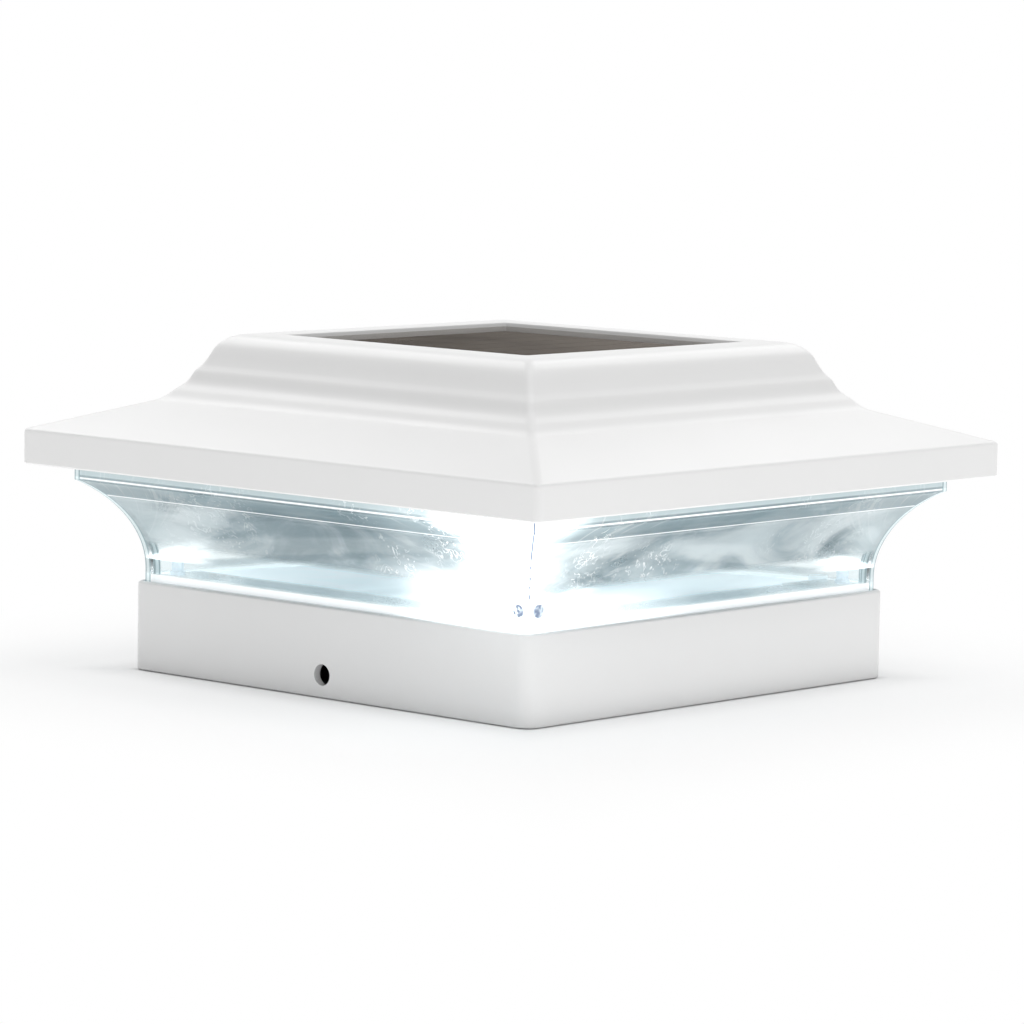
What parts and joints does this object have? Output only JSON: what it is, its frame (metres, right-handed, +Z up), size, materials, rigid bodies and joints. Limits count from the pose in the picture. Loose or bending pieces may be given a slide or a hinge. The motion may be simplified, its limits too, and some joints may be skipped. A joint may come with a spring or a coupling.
{
  "type": "deck post cap light",
  "caption": "Square white post cap light with a clear coved lens, corner lamps, an overhanging moulded roof and a solar panel let into its top.",
  "frame": {"origin": "centre of the collar's square lower edge, at the height of that edge", "axes": "+Z up along the post; -Y towards the face with the visible screw hole; +X to the right of that face"},
  "size_m": [0.1718, 0.1718, 0.0835],
  "materials": {
    "white_housing": "satin",
    "panel_glass": "gloss",
    "solar_film": "satin",
    "board_dark": "matte",
    "foam_black": "matte",
    "lens_clear": "clear gloss, seeded",
    "sealant": "matte",
    "reflector_white": "satin",
    "screw_steel": "satin",
    "board_white": "matte",
    "lamp_epoxy": "clear gloss",
    "box_grey": "matte",
    "board_green": "satin",
    "chip_black": "matte",
    "copper_winding": "satin",
    "capacitor_blue": "satin",
    "connector_ivory": "matte",
    "switch_black": "matte",
    "cell_steel": "satin",
    "sleeve_green": "gloss",
    "spring_steel": "gloss",
    "wire_jacket": "satin"
  },
  "bodies": {
    "cap": {"roof": "white_housing", "panel_cover": "panel_glass", "solar_cells": "solar_film", "panel_board": "board_dark", "panel_tape": "foam_black", "lens": "lens_clear", "lens_lip_seal": "sealant", "lens_foot_seal": "sealant", "reflector_tray": "reflector_white", "tray_screws": "screw_steel", "base_collar": "white_housing", "deck_plate": "reflector_white", "deck_screws": "screw_steel", "lamp_boards": "board_white", "lamp_domes": "lamp_epoxy", "lamp_board_screws": "screw_steel", "wire_conduit": "reflector_white", "electronics_box": "box_grey", "box_screws": "screw_steel", "charge_board": "board_green", "charge_board_screws": "screw_steel", "controller_chip": "chip_black", "inductor": "copper_winding", "capacitor": "capacitor_blue", "lead_connectors": "connector_ivory", "switch_housing": "screw_steel", "battery_cell": "cell_steel", "battery_sleeve": "sleeve_green", "contact_spring": "spring_steel", "contact_plates": "spring_steel", "panel_leads": "wire_jacket", "lamp_leads": "wire_jacket"},
    "switch": {"switch_slider": "switch_black"},
    "door": {"battery_door": "box_grey", "door_gasket": "foam_black", "door_screws": "screw_steel"}
  },
  "joints": [
    {"name": "switch_slide", "type": "slide", "parent": "cap", "child": "switch", "axis": [1, 0, 0], "range_m": [0, 0.003]},
    {"name": "door_release", "type": "slide", "parent": "cap", "child": "door", "axis": [0, 0, -1], "range_m": [0, 0.03]}
  ]
}
